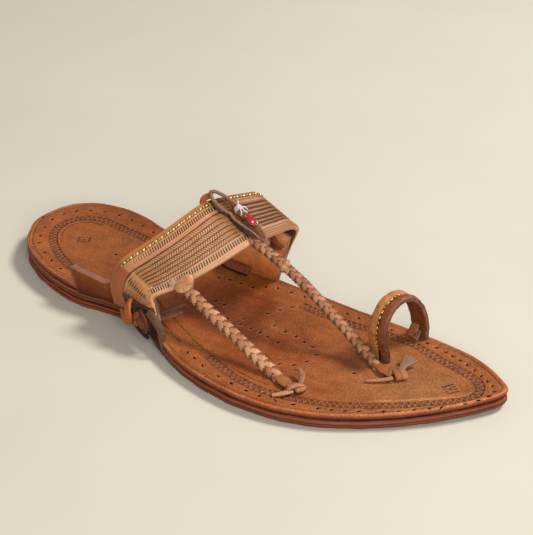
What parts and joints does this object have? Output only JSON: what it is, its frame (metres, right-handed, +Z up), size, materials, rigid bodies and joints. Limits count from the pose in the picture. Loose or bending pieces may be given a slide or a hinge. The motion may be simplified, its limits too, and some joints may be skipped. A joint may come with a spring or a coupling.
{
  "type": "kolhapuri sandal",
  "caption": "Flat leather sandal, right foot: tooled insole on a stacked heel, broad decorated instep band tied to side ears, braided thongs to the forefoot and a big-toe loop.",
  "frame": {"origin": "centre of the bounding box at floor level, under the waist of the sandal", "axes": "+X towards the toe tip, +Y towards the medial (big-toe) side, +Z up, floor at z=0"},
  "size_m": [0.2792, 0.1028, 0.0681],
  "materials": {
    "tan_insole": "vegetable-tanned, satin, tooled",
    "sole_edge": "dense sole leather, burnished cut edges",
    "band_tan": "thin tan leather, plaited and slit overlays",
    "thong": "narrow leather thong, waxed",
    "red_stone": "glossy faceted"
  },
  "bodies": {
    "root": {"heel_lift_lower": "sole_edge", "heel_lift_upper": "sole_edge", "outsole": "sole_edge", "insole": "tan_insole", "ear_lateral": "tan_insole", "ear_medial": "tan_insole", "upper": "band_tan", "toe_loop": "thong", "top_loop": "thong", "stone": "red_stone", "side_disc": "band_tan", "knot_centre": "thong", "knot_side": "thong", "tie_lateral": "thong", "tie_medial": "thong", "tie_medial_inner": "thong", "tail_lateral": "thong", "tail_medial": "thong"}
  },
  "joints": []
}
